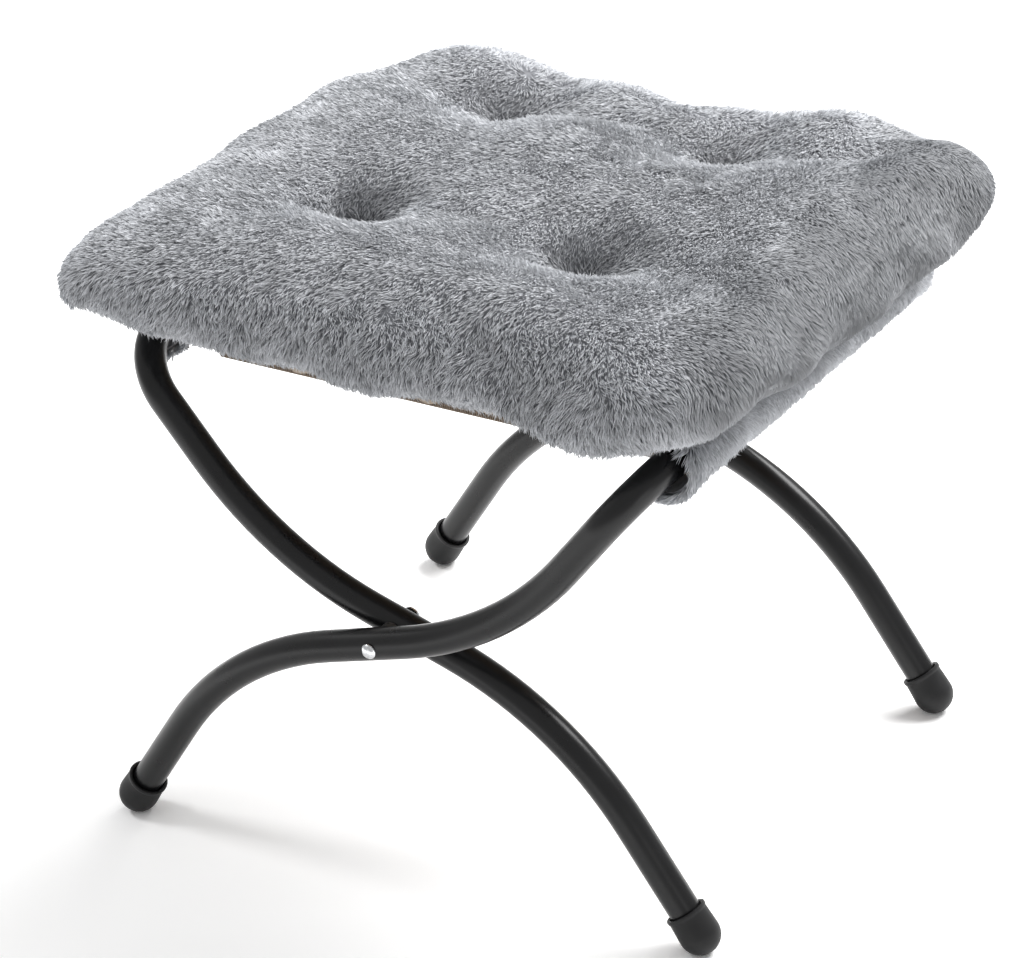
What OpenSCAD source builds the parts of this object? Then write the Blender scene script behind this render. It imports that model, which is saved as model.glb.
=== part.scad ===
// Folding footstool: two crossed tube frames that turn on two rivets, a cloth sling between
// their rails, and a tufted plush cushion with a sleeve round each rail.
// The floor is z = 0. The rivets' axis runs along Y, above the origin.

/* [Frame tubes] */
// Outer diameter of the frame tubes
tube_d = 19; // [16:0.5:24]
// Wall of the frame tubes
tube_wall = 1.2; // [0.8:0.1:2]
// From the middle of the stool to the axis of an outer leg
outer_half_span = 170; // [155:1:200]
// Gap between the two tubes at a rivet
tube_gap = 5; // [3:0.5:10]
// Rise of a leg where it crosses the other, in degrees
crossing_slope = 17; // [10:1:25]

/* [Leg above the rivet] */
// Straight length from the rivet to the upper bend
upper_start = 20; // [15:1:40]
// Radius of the upper bend
upper_bend_r = 228; // [180:1:280]
// Turn of the upper bend, in degrees
upper_turn = 34; // [25:1:40]
// Straight length from the upper bend to the corner
upper_end = 38; // [20:1:60]
// Radius of the corner between a leg and its rail
corner_r = 38; // [30:1:50]

/* [Leg below the rivet] */
// Straight length from the rivet to the lower bend
lower_start = 36; // [15:1:50]
// Radius of the lower bend
lower_bend_r = 214; // [180:1:260]
// Turn of the lower bend, in degrees
lower_turn = 38.5; // [30:0.5:45]
// Straight length from the lower bend to the tube's end
lower_end = 75; // [50:1:100]

/* [Rubber feet] */
// Diameter of a foot's round end
foot_d = 24.7; // [22:0.1:32]
// Diameter of a foot at its rim
foot_rim_d = 23.4; // [22:0.1:30]
// Length of a foot along the tube
foot_length = 28; // [24:1:40]
// Rubber under the tube's end
foot_sole = 10.3; // [9:0.1:14]
// Thickness of the bead round a foot's rim
foot_bead = 1.6; // [1:0.1:3]
// Depth of the flat that a foot stands on
foot_flat = 0.4; // [0.2:0.1:1]

/* [Rivets] */
// Diameter of a rivet's shank
rivet_d = 6; // [4:0.5:8]
// Diameter of a rivet's head
rivet_head_d = 9.2; // [8:0.1:12]
// Height of a rivet's head
rivet_head_h = 2.6; // [1.5:0.1:4]
// Diameter of the spacer between the two tubes
spacer_d = 13; // [10:0.5:16]
// Diameter of the washer under a rivet's inner head
washer_d = 12; // [10:0.5:16]
// Thickness of that washer
washer_t = 1.2; // [0.8:0.1:2]

/* [Sling] */
// Thickness of the sling's cloth
sling_t = 1.6; // [1:0.1:3]
// From the middle of the stool to the sling's front edge
sling_half_d = 125; // [110:1:128]
// How far a loop ends before the rail's corner
loop_inset = 3; // [2:1:10]
// Diameter of the cord in the sling's bound edges
binding_d = 4; // [3:0.5:6]

/* [Fur sleeves] */
// Thickness of a sleeve, cloth and pile
sleeve_t = 12; // [8:0.5:16]
// How far a sleeve reaches past the rail's straight part
sleeve_reach = 19; // [8:1:22]
// How much wider a sleeve is at its mouth, measured on the radius
sleeve_flare = 5; // [4:0.5:8]

/* [Cushion] */
// Width of the cushion over its pile
cushion_w = 467; // [440:1:500]
// Depth of the cushion over its pile
cushion_d = 373; // [350:1:400]
// Height of the cushion from its underside to its crown
cushion_h = 85; // [70:1:110]
// Height of the cushion's widest line above its underside
edge_rise = 38; // [30:1:50]
// Thickness of the plush cover, cloth and pile
cover_t = 10; // [6:0.5:14]
// Thickness of the cover's plain underside
base_t = 1.6; // [1:0.1:3]
// From the middle of the tufts to a tuft, along the cushion's width
tuft_x = 76; // [60:1:90]
// From the middle of the tufts to a tuft, along the cushion's depth
tuft_y = 80; // [60:1:90]
// How far the middle of the tufts lies right of the cushion's middle
tuft_right = 6; // [0:1:12]
// How far the middle of the tufts lies behind the cushion's middle
tuft_back = 26; // [0:1:40]
// Depth of a tuft
tuft_depth = 38; // [10:1:42]
// Radius over which a tuft draws the top down
tuft_r = 34; // [28:1:44]
// Diameter of the tufting thread
thread_d = 1.6; // [1:0.1:2.5]
// Diameter of the knots at its ends
knot_d = 4; // [3:0.5:6]

/* [Clearances] */
// Radial clearance of a rivet in its holes
rivet_clear = 0.1; // [0.05:0.01:0.1]
// Clearance of hard pieces that lie against each other
hard_clear = 0.1; // [0.05:0.05:0.2]
// Clearance of soft pieces from what they touch
soft_clear = 0.3; // [0.2:0.05:0.5]

/* [Hidden] */
// Facets that stand for a full circle, fewer on the long bent tubes
$fn = 48;
tube_facets = 32;
// Overrun of every cut
over = 1;
// How far a straight tube laps into a bend, and how much bending thins the wall from each face
lap = 0.5;
bend_loss = 0.15;

tube_r = tube_d / 2;
bore_d = tube_d - 2 * tube_wall;
inner_half_span = outer_half_span - tube_d - tube_gap;
upper_slope = crossing_slope + upper_turn;
lower_slope = crossing_slope + lower_turn;
foot_r = foot_d / 2;
// From the lower bend to the middle of a foot's round end
foot_run = lower_end + foot_sole - foot_r;
pivot_z = foot_r - foot_flat + lower_start * sin(crossing_slope)
  + lower_bend_r * (cos(crossing_slope) - cos(lower_slope)) + foot_run * sin(lower_slope);
rail_x = upper_start * cos(crossing_slope)
  + upper_bend_r * (sin(upper_slope) - sin(crossing_slope)) + (upper_end + corner_r) * cos(upper_slope);
rail_z = pivot_z + upper_start * sin(crossing_slope)
  + upper_bend_r * (cos(crossing_slope) - cos(upper_slope)) + (upper_end + corner_r) * sin(upper_slope);
right_rail_half = outer_half_span - corner_r;
left_rail_half = inner_half_span - corner_r;

rivet_hole_d = rivet_d + 2 * rivet_clear;
head_ball_r = (pow(rivet_head_d / 2, 2) + pow(rivet_head_h, 2)) / (2 * rivet_head_h);
outer_crest = outer_half_span + tube_r;
spacer_end = inner_half_span + tube_r + hard_clear;
washer_seat = inner_half_span - tube_r - hard_clear;

loop_r = tube_r + soft_clear;
loop_outer_r = loop_r + sling_t;
sleeve_r = loop_outer_r + soft_clear;
sling_end = rail_x - loop_outer_r - soft_clear;
sling_top = rail_z + sling_t / 2;
sling_bottom = rail_z - sling_t / 2;
// Degrees round the rail from a sleeve's widest point to its end, clear of the sling and its binding
sleeve_end = 180 - asin((binding_d / 2 + soft_clear) / sleeve_r);

belly_z = sling_top + soft_clear;
edge_z = belly_z + edge_rise;
crown_z = belly_z + cushion_h;
// The underside lies flat, and then slopes up past the rails to the widest line: how far the slope
// keeps from a rail's axis, its angle in degrees, and the flat part as a share of the outline
rail_keep = loop_outer_r + 2 * soft_clear;
rail_to_edge = [cushion_w / 2 - rail_x, edge_z - rail_z];
under_slope = atan2(rail_to_edge[1], rail_to_edge[0]) - asin(rail_keep / norm(rail_to_edge));
flat_share = 1 - edge_rise / tan(under_slope) / (cushion_w / 2);
// Degrees above the rail at which a sleeve ends, just under that slope
sleeve_top = under_slope + asin((rail_keep - soft_clear) / (sleeve_r + sleeve_flare + sleeve_t));
// The cushion's halves stay this far from the middle plane
half_gap = soft_clear / 2;
// Squareness of the cushion's outline: 2 gives an ellipse
outline_power = 5.5;
// Roundness of the cushion's top, across its width and at its shoulders
top_power = 3;
shoulder_power = 0.42;
// Valleys between the tufts and humps round them: [x, y, height, radius] of each
relief = [
  [6, 108, -11, 34], [6, -54, -7, 34], [155, -58, -7, 34], [-185, 150, -12, 40],
  [-105, 150, 11, 40], [128, 150, 13, 40], [205, 150, 20, 40], [0, 30, 3, 40],
  [-70, -118, 9, 40], [80, -118, 5, 40], [180, -130, 11, 45], [200, 20, 19, 50],
  [-205, -100, -7, 55]
];
// How late the tufts and the relief fade out towards the widest line
relief_fade = 4;
// Rows from the crown to the widest line, and columns round half of the outline
rows = 15;
columns = 30;
// Rows of the cover's underside, as shares of the outline: three up the slope, and two on the flat
slope_shares = [0.7, 0.4, 0];
under_shares = concat(
  [for (share = slope_shares) flat_share + share * (1 - flat_share)],
  [flat_share / 2, 0]
);

// A straight tube along +Z that laps a little into the bends at its ends
module straight(length, lap_after = lap) {
  translate([0, 0, -lap]) difference() {
    cylinder(h = length + lap + lap_after, d = tube_d);
    translate([0, 0, -over]) cylinder(h = length + lap + lap_after + 2 * over, d = bore_d);
  }
}

// A tube bend that leaves along +Z and turns towards +X
module bend(radius, turn) {
  translate([radius, 0, 0]) rotate([90, 0, 0]) rotate([0, 0, 180 - turn])
    rotate_extrude(angle = turn) translate([radius, 0]) difference() {
      circle(d = tube_d - 2 * bend_loss);
      circle(d = bore_d + 2 * bend_loss);
    }
}

// Places what follows a straight run or a bend
module past_run(length) {
  translate([0, 0, length]) children();
}

module past_bend(radius, turn) {
  translate([radius, 0, 0]) rotate([0, turn, 0]) translate([-radius, 0, 0]) children();
}

// Points +Z up the upper leg from the rivet, with +X on the side that the leg bends to
module at_crossing(half_span) {
  translate([0, -half_span, pivot_z]) rotate([0, 90 - crossing_slope, 0]) rotate([0, 0, 180]) children();
}

module front_leg(half_span) {
  at_crossing(half_span) {
    past_run(-lower_start) straight(lower_start + upper_start);
    past_run(upper_start) {
      bend(upper_bend_r, upper_turn);
      past_bend(upper_bend_r, upper_turn) {
        straight(upper_end);
        past_run(upper_end) rotate([0, 0, -90]) bend(corner_r, 90);
      }
    }
    rotate([0, 180, 0]) past_run(lower_start) {
      bend(lower_bend_r, lower_turn);
      past_bend(lower_bend_r, lower_turn) straight(lower_end, 0);
    }
  }
}

module both_sides() {
  children();
  mirror([0, 1, 0]) children();
}

// A whole frame with its rail on the right, drilled for both rivets
module frame(half_span) {
  $fn = tube_facets;
  difference() {
    union() {
      both_sides() front_leg(half_span);
      translate([rail_x, corner_r - half_span, rail_z]) rotate([-90, 0, 0])
        straight(2 * (half_span - corner_r));
    }
    both_sides() translate([0, -half_span, pivot_z]) rotate([90, 0, 0])
      cylinder(h = tube_d + 2 * over, d = rivet_hole_d, center = true);
  }
}

module outer_frame_tube() {
  color([0.06, 0.06, 0.065]) frame(outer_half_span);
}

module inner_frame_tube() {
  color([0.06, 0.06, 0.065]) mirror([1, 0, 0]) frame(inner_half_span);
}

// Points +Z out of the tube's lower end, from the middle of the foot's round end
module at_foot(half_span) {
  at_crossing(half_span) rotate([0, 180, 0]) past_run(lower_start)
    past_bend(lower_bend_r, lower_turn) past_run(foot_run) children();
}

module foot(half_span) {
  rim_z = foot_r - foot_length;
  color([0.03, 0.03, 0.03]) difference() {
    at_foot(half_span) difference() {
      union() {
        sphere(d = foot_d);
        translate([0, 0, rim_z]) cylinder(h = -rim_z, d1 = foot_rim_d, d2 = foot_d);
        translate([0, 0, rim_z]) rotate_extrude() translate([foot_rim_d / 2 - foot_bead / 2, 0])
          circle(d = foot_bead);
      }
      translate([0, 0, rim_z - foot_bead])
        cylinder(h = foot_length + foot_bead - foot_sole, d = tube_d + hard_clear);
    }
    translate([-rail_x - foot_length - foot_d, -outer_crest - foot_d, -foot_d])
      cube([2 * (rail_x + foot_length + foot_d), 2 * (outer_crest + foot_d), foot_d]);
  }
}

module outer_front_foot() {
  foot(outer_half_span);
}

module outer_rear_foot() {
  mirror([0, 1, 0]) foot(outer_half_span);
}

module inner_front_foot() {
  mirror([1, 0, 0]) foot(inner_half_span);
}

module inner_rear_foot() {
  mirror([1, 0, 0]) mirror([0, 1, 0]) foot(inner_half_span);
}

// Points +Z from the middle of the stool out along the front rivet
module along_rivet() {
  translate([0, 0, pivot_z]) rotate([90, 0, 0]) children();
}

module rivet_dome() {
  rotate_extrude() intersection() {
    translate([0, rivet_head_h - head_ball_r]) circle(r = head_ball_r);
    square([rivet_head_d / 2, rivet_head_h]);
  }
}

// The outer leg's straight part, as a cutter with a clearance
module outer_leg_cutter() {
  translate([0, 0, outer_half_span]) rotate([0, 0, crossing_slope]) rotate([0, 90, 0])
    cylinder(h = 2 * spacer_d, d = tube_d + 2 * hard_clear, center = true);
}

module rivet() {
  inner_end = washer_seat - washer_t - hard_clear;
  color([0.75, 0.75, 0.77]) along_rivet() {
    translate([0, 0, inner_end]) cylinder(h = outer_crest - inner_end, d = rivet_d);
    translate([0, 0, outer_crest]) rivet_dome();
    translate([0, 0, inner_end]) mirror([0, 0, 1]) rivet_dome();
    difference() {
      translate([0, 0, outer_half_span]) cylinder(h = tube_r, d = rivet_head_d);
      outer_leg_cutter();
    }
  }
}

module front_pivot_rivet() {
  rivet();
}

module rear_pivot_rivet() {
  mirror([0, 1, 0]) rivet();
}

module spacer() {
  color([0.1, 0.1, 0.1]) along_rivet() difference() {
    translate([0, 0, spacer_end]) cylinder(h = outer_half_span - spacer_end, d = spacer_d);
    outer_leg_cutter();
    translate([0, 0, spacer_end - over])
      cylinder(h = outer_half_span - spacer_end + 2 * over, d = rivet_hole_d);
  }
}

module front_pivot_spacer() {
  spacer();
}

module rear_pivot_spacer() {
  mirror([0, 1, 0]) spacer();
}

module washer() {
  color([0.7, 0.7, 0.72]) along_rivet() translate([0, 0, washer_seat - washer_t]) difference() {
    cylinder(h = washer_t, d = washer_d);
    translate([0, 0, -over]) cylinder(h = washer_t + 2 * over, d = rivet_hole_d);
  }
}

module front_rivet_washer() {
  washer();
}

module rear_rivet_washer() {
  mirror([0, 1, 0]) washer();
}

// Points +Z along +Y from the middle of the right rail
module at_right_rail() {
  translate([rail_x, 0, rail_z]) rotate([-90, 0, 0]) children();
}

module rail_loop(rail_half) {
  length = 2 * min(rail_half - loop_inset, sling_half_d);
  color([0.36, 0.27, 0.19]) at_right_rail() difference() {
    cylinder(h = length, r = loop_outer_r, center = true);
    cylinder(h = length + 2 * over, r = loop_r, center = true);
  }
}

module right_rail_loop() {
  rail_loop(right_rail_half);
}

module left_rail_loop() {
  mirror([1, 0, 0]) rail_loop(left_rail_half);
}

// Half of the sling, which narrows to the length of its loop
module sling(rail_half, side) {
  loop_half = min(rail_half - loop_inset, sling_half_d);
  taper = min(sling_end / 2, 2 * (sling_half_d - loop_half) + over);
  color([0.36, 0.27, 0.19]) difference() {
    translate([0, 0, sling_bottom]) linear_extrude(height = sling_t) polygon([
      [half_gap, -sling_half_d], [sling_end - taper, -sling_half_d], [sling_end, -loop_half],
      [sling_end, loop_half], [sling_end - taper, sling_half_d], [half_gap, sling_half_d]
    ]);
    for (y = thread_ys) translate([thread_x(side), y, 0])
      cylinder(h = crown_z, d = thread_d + 2 * soft_clear);
  }
}

module right_sling() {
  sling(right_rail_half, 1);
}

module left_sling() {
  mirror([1, 0, 0]) sling(left_rail_half, -1);
}

// The cord along the sling's front and rear edges, which ends where the sling narrows
module edge_binding(rail_half) {
  loop_half = min(rail_half - loop_inset, sling_half_d);
  taper = min(sling_end / 2, 2 * (sling_half_d - loop_half) + over);
  color([0.72, 0.64, 0.52]) both_sides()
    translate([half_gap, sling_half_d + soft_clear + binding_d / 2, rail_z]) rotate([0, 90, 0])
      cylinder(h = sling_end - taper - half_gap, d = binding_d);
}

module right_edge_binding() {
  edge_binding(right_rail_half);
}

module left_edge_binding() {
  mirror([1, 0, 0]) edge_binding(left_rail_half);
}

// A sleeve wraps the outside and the underside of a rail, and widens at its mouths
module fur_sleeve(rail_half) {
  mouth_half = rail_half + sleeve_reach;
  mouth_r = sleeve_r + sleeve_flare;
  color([0.66, 0.67, 0.7]) at_right_rail() rotate([0, 0, -sleeve_top])
    rotate_extrude(angle = sleeve_top + sleeve_end) polygon([
      [sleeve_r, -rail_half], [sleeve_r, rail_half], [mouth_r, mouth_half],
      [mouth_r + sleeve_t, mouth_half], [sleeve_r + sleeve_t, rail_half],
      [sleeve_r + sleeve_t, -rail_half], [mouth_r + sleeve_t, -mouth_half], [mouth_r, -mouth_half]
    ]);
}

module right_fur_sleeve() {
  fur_sleeve(right_rail_half);
}

module left_fur_sleeve() {
  mirror([1, 0, 0]) fur_sleeve(left_rail_half);
}

function sum(list, i = 0) = i < len(list) ? list[i] + sum(list, i + 1) : 0;

// Tufts and relief at a place on the whole cushion, where x is negative on the left
function bell(x, y, radius) = exp(-(x * x + y * y) / (radius * radius));
function tuft_dip(x, y) =
  tuft_depth * bell(abs(x - tuft_right) - tuft_x, abs(y - tuft_back) - tuft_y, tuft_r);
function rise(x, y) = sum([for (hump = relief) hump[2] * bell(x - hump[0], y - hump[1], hump[3])]);

// A half is drawn on the right, and side is -1 for the one that is then mirrored to the left.
// Share runs from 0 in the middle to 1 at the widest line, angle goes round the outline, and
// inset and base_inset set a place in from the surface
function outline_r(angle) =
  pow(pow(abs(cos(angle)), outline_power) + pow(abs(sin(angle)), outline_power), -1 / outline_power);
function plan_x(share, angle, inset) = half_gap
  + (cushion_w / 2 - half_gap - inset) * outline_r(angle) * max(cos(angle), 0) * share;
function plan_y(share, angle, inset) = (cushion_d / 2 - inset) * outline_r(angle) * sin(angle) * share;
function top_z(x, y, share, inset) = edge_z
  + (crown_z - edge_z - inset) * pow(1 - pow(share, top_power), shoulder_power)
  + (rise(x, y) - tuft_dip(x, y)) * (1 - pow(share, relief_fade));
function under_z(share, base_inset) = belly_z + base_inset
  + (edge_rise - base_inset) * max(share - flat_share, 0) / (1 - flat_share);
function on_top(share, angle, inset, side) =
  let (x = plan_x(share, angle, inset), y = plan_y(share, angle, inset))
    [x, y, top_z(side * x, y, share, inset)];
function underneath(share, angle, inset, base_inset) =
  [plan_x(share, angle, inset), plan_y(share, angle, inset), under_z(share, base_inset)];

function row_share(row) = sin(90 * row / rows);
function column_angle(column) = -90 + 180 * column / columns;
function top_rows(angle, inset, side) =
  [for (row = [0:rows]) on_top(row_share(row), angle, inset, side)];
function under_rows(shares, angle, inset, base_inset) =
  [for (share = shares) underneath(share, angle, inset, base_inset)];
function reversed(list) = [for (i = [len(list) - 1:-1:0]) list[i]];

// Sections that fan out from the middle, each a closed loop whose first and last points are shared.
// Crossed patches split along the other diagonal, as the inner face of the cover does
module fanned(sections, crossed = false) {
  count = len(sections[0]);
  last = count - 1;
  function at(column, i) = (i == 0 || i == last) ? i : column * count + i;
  closed = len(sections) - 1;
  half = floor(last / 2);
  ends = [
    for (i = [0:half - 1]) each [
      [at(0, i), at(0, last - i), at(0, i + 1)],
      if (last - i - 1 > i + 1) [at(0, i + 1), at(0, last - i), at(0, last - i - 1)],
      [at(closed, i), at(closed, i + 1), at(closed, last - i)],
      if (last - i - 1 > i + 1) [at(closed, i + 1), at(closed, last - i - 1), at(closed, last - i)]
    ]
  ];
  crown = [for (column = [0:len(sections) - 2]) [0, at(column, 1), at(column + 1, 1)]];
  pole = [for (column = [0:len(sections) - 2]) [at(column, last - 1), last, at(column + 1, last - 1)]];
  walls = [
    for (column = [0:len(sections) - 2], i = [1:last - 2]) each [
      [at(column, i), at(column, i + 1), at(column + 1, crossed ? i + 1 : i)],
      [at(column + 1, i), at(column, crossed ? i : i + 1), at(column + 1, i + 1)]
    ]
  ];
  polyhedron(points = [for (section = sections) each section], faces = concat(crown, walls, pole, ends));
}

// Where a half's two threads run, and the height of the cover in the middle of a tuft
function thread_x(side) = tuft_x + side * tuft_right;
thread_ys = [tuft_back - tuft_y, tuft_back + tuft_y];
function tuft_top(side, y) =
  let (x = thread_x(side) / (cushion_w / 2), v = y / (cushion_d / 2))
    top_z(side * thread_x(side), y, norm([x, v]) / outline_r(atan2(v, x)), 0);

module cushion_cover(side) {
  color([0.68, 0.69, 0.72]) difference() {
    fanned([
      for (column = [0:columns]) let (angle = column_angle(column)) concat(
        top_rows(angle, 0, side),
        under_rows(under_shares, angle, 0, 0),
        reversed(concat(
          top_rows(angle, cover_t, side),
          under_rows(under_shares, angle, cover_t, base_t)
        ))
      )
    ]);
    for (y = thread_ys) translate([thread_x(side), y, 0]) {
      translate([0, 0, tuft_top(side, y) - cover_t - over])
        cylinder(h = cushion_h, d = knot_d + 2 * soft_clear);
      translate([0, 0, belly_z - over]) cylinder(h = base_t + 2 * over, d = thread_d + 2 * soft_clear);
    }
  }
}

module right_cushion_cover() {
  cushion_cover(1);
}

module left_cushion_cover() {
  mirror([1, 0, 0]) cushion_cover(-1);
}

module filling(side) {
  inset = cover_t + soft_clear;
  under_inset = base_t + soft_clear;
  color([0.93, 0.93, 0.92]) difference() {
    fanned([
      for (column = [0:columns]) let (angle = column_angle(column)) concat(
        top_rows(angle, inset, side),
        under_rows([for (row = [rows - 1:-1:0]) row_share(row)], angle, inset, under_inset)
      )
    ], crossed = true);
    for (y = thread_ys) translate([thread_x(side), y, 0])
      cylinder(h = crown_z, d = thread_d + 2 * soft_clear);
  }
}

module right_filling() {
  filling(1);
}

module left_filling() {
  mirror([1, 0, 0]) filling(-1);
}

module tuft_threads(side) {
  low = sling_bottom - soft_clear - knot_d / 2;
  color([0.55, 0.56, 0.6]) for (y = thread_ys) translate([thread_x(side), y, 0]) {
    translate([0, 0, low]) sphere(d = knot_d);
    translate([0, 0, low]) cylinder(h = tuft_top(side, y) - low, d = thread_d);
    translate([0, 0, tuft_top(side, y)]) sphere(d = knot_d);
  }
}

module right_tuft_threads() {
  tuft_threads(1);
}

module left_tuft_threads() {
  mirror([1, 0, 0]) tuft_threads(-1);
}

outer_frame_tube();
inner_frame_tube();
outer_front_foot();
outer_rear_foot();
inner_front_foot();
inner_rear_foot();
front_pivot_rivet();
rear_pivot_rivet();
front_pivot_spacer();
rear_pivot_spacer();
front_rivet_washer();
rear_rivet_washer();
right_sling();
left_sling();
right_rail_loop();
left_rail_loop();
right_edge_binding();
left_edge_binding();
right_fur_sleeve();
left_fur_sleeve();
right_cushion_cover();
left_cushion_cover();
right_filling();
left_filling();
right_tuft_threads();
left_tuft_threads();
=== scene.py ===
# %% [markdown]
# # A folding footstool in tufted plush
# The stool is two bent-tube frames that cross on rivets, with a tufted plush cushion on a cloth
# sling between their rails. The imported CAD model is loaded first, because every piece made here
# sits where that model says and moves with one of its bodies.

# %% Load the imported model
import math

import bmesh
import bpy
import numpy as np
from mathutils import Matrix, Vector


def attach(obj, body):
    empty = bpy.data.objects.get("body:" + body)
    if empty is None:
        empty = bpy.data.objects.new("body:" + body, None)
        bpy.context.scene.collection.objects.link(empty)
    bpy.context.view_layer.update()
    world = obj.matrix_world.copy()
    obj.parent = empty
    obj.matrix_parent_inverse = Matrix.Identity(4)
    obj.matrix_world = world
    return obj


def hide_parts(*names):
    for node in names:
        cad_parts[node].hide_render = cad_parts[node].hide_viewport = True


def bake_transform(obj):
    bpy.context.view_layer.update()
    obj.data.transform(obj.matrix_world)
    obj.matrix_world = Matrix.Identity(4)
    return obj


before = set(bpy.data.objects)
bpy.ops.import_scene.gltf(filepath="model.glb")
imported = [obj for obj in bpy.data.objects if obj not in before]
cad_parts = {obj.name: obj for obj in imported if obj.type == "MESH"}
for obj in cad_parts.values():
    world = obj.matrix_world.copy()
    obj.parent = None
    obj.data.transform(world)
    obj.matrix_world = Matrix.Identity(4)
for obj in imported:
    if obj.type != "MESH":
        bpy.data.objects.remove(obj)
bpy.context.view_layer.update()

# %% [markdown]
# Operators act on whatever is selected, so each step begins with nothing selected. A finished
# piece has its place in its mesh and its object at the origin, so moves made with the object are
# applied at once.


# %% Helpers for starting and finishing a piece
def nothing_selected():
    if bpy.context.object and bpy.context.object.mode != "OBJECT":
        bpy.ops.object.mode_set(mode="OBJECT")
    bpy.ops.object.select_all(action="DESELECT")


def take(piece):
    """Makes one piece the selected, active object."""
    nothing_selected()
    piece.select_set(True)
    bpy.context.view_layer.objects.active = piece
    return piece


def named(name):
    """Names the piece that an operator has just added, and moves its place into its mesh."""
    piece = bpy.context.object
    piece.name = piece.data.name = name
    bpy.ops.object.transform_apply(location=True, rotation=True, scale=True)
    return piece


def edit(piece):
    take(piece)
    bpy.ops.object.mode_set(mode="EDIT")
    bpy.ops.mesh.select_all(action="DESELECT")


def pick(kind, wanted):
    """Selects the vertices or faces of the piece being edited for which wanted(it) is true."""
    bpy.ops.mesh.select_mode(type="VERT" if kind == "verts" else "FACE")
    bpy.ops.mesh.select_all(action="DESELECT")
    mesh = bmesh.from_edit_mesh(bpy.context.object.data)
    found = [part for part in getattr(mesh, kind) if wanted(part)]
    for part in found:
        part.select_set(True)
    mesh.select_flush_mode()
    bmesh.update_edit_mesh(bpy.context.object.data)
    return len(found)


def apply_modifier(piece, kind, **settings):
    take(piece)
    modifier = piece.modifiers.new(kind.title(), kind)
    for name, value in settings.items():
        setattr(modifier, name, value)
    bpy.ops.object.modifier_apply(modifier=modifier.name)


def closed_up(piece, angle=math.radians(40)):
    """Merges doubles, turns the faces outwards and shades smooth up to an angle."""
    edit(piece)
    bpy.ops.mesh.select_all(action="SELECT")
    bpy.ops.mesh.remove_doubles(threshold=1e-6)
    bpy.ops.mesh.normals_make_consistent(inside=False)
    nothing_selected()
    take(piece)
    bpy.ops.object.shade_smooth_by_angle(angle=angle)
    return piece


def copy_of(piece, name):
    """A copy with its own mesh."""
    twin = piece.copy()
    twin.data = piece.data.copy()
    twin.name = twin.data.name = name
    bpy.context.scene.collection.objects.link(twin)
    return twin


def moved_copy(piece, name, flip=(1, 1, 1), shift=(0, 0, 0)):
    """A copy mirrored in the planes through the origin and then shifted."""
    twin = copy_of(piece, name)
    twin.data.transform(Matrix.Translation(shift) @ Matrix.Diagonal((*flip, 1)))
    if flip[0] * flip[1] * flip[2] < 0:
        twin.data.flip_normals()
    return twin


def triangles_of(piece):
    piece.data.calc_loop_triangles()
    return len(piece.data.loop_triangles)


# %% [markdown]
# ## The camera
# The camera comes first. Its place, lens and roll were worked out from the frames in the
# photograph: it stands about 2.4 m away, a third of a turn towards the right and 28.5 degrees up.

# %% Camera
AIM = Vector((0, 0.0016, 0.1668))
AZIMUTH, ELEVATION, ROLL = (math.radians(a) for a in (33.65, 28.51, 3.77))
AWAY = 2.386
LENS_MM, SHIFT_X, SHIFT_Y = 140.17, -0.0248, 0.0317
back = Vector((
    math.sin(AZIMUTH) * math.cos(ELEVATION),
    -math.cos(AZIMUTH) * math.cos(ELEVATION),
    math.sin(ELEVATION),
))
level_right = Vector((math.cos(AZIMUTH), math.sin(AZIMUTH), 0))
level_up = back.cross(level_right)
cam_right = math.cos(ROLL) * level_right - math.sin(ROLL) * level_up
cam_up = math.sin(ROLL) * level_right + math.cos(ROLL) * level_up
camera_data = bpy.data.cameras.new("photo_camera")
camera = bpy.data.objects.new("photo_camera", camera_data)
bpy.context.scene.collection.objects.link(camera)
bpy.context.scene.camera = camera
camera.matrix_world = Matrix.Translation(AIM + back * AWAY) @ Matrix(
    (cam_right, cam_up, back)
).transposed().to_4x4()
camera_data.sensor_width = 36
camera_data.lens = LENS_MM
camera_data.shift_x, camera_data.shift_y = SHIFT_X, SHIFT_Y
print("camera at", [round(x, 3) for x in camera.location])

# %% [markdown]
# ## Floor, world and lamps
# The photograph is lit by big soft lamps and cut out on white. Here the floor and the world are
# white where the camera or a reflection meets them, and the lamps are large, so shadows are soft.
# The view transform is Standard, so a colour shows about as it is written.


# %% Materials are small node trees, so these helpers keep them short
def new_material(name, roughness=0.5, specular=0.5):
    material = bpy.data.materials.new(name)
    material.use_nodes = True
    tree = material.node_tree
    tree.nodes.clear()
    output = tree.nodes.new("ShaderNodeOutputMaterial")
    shader = tree.nodes.new("ShaderNodeBsdfPrincipled")
    tree.links.new(shader.outputs["BSDF"], output.inputs["Surface"])
    shader.inputs["Roughness"].default_value = roughness
    shader.inputs["Specular IOR Level"].default_value = specular
    return material, tree, shader


def add_node(tree, kind, settings=None, **inputs):
    """A node with its settings, and its inputs set to values or linked to sockets."""
    node = tree.nodes.new(kind)
    for name, value in (settings or {}).items():
        setattr(node, name, value)
    for name, value in inputs.items():
        socket = node.inputs[int(name[1:]) if name[0] == "_" else name.replace("_", " ")]
        if isinstance(value, bpy.types.NodeSocket):
            tree.links.new(value, socket)
        else:
            socket.default_value = value
    return node


def ramp(tree, factor, *stops):
    """A colour ramp through (place, grey or colour) stops."""
    node = add_node(tree, "ShaderNodeValToRGB", Fac=factor)
    while len(node.color_ramp.elements) < len(stops):
        node.color_ramp.elements.new(0.5)
    for element, (place, colour) in zip(node.color_ramp.elements, stops):
        element.position = place
        rgb = (colour,) * 3 if isinstance(colour, (int, float)) else colour
        element.color = (*rgb, 1)
    return node.outputs["Color"]


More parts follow.
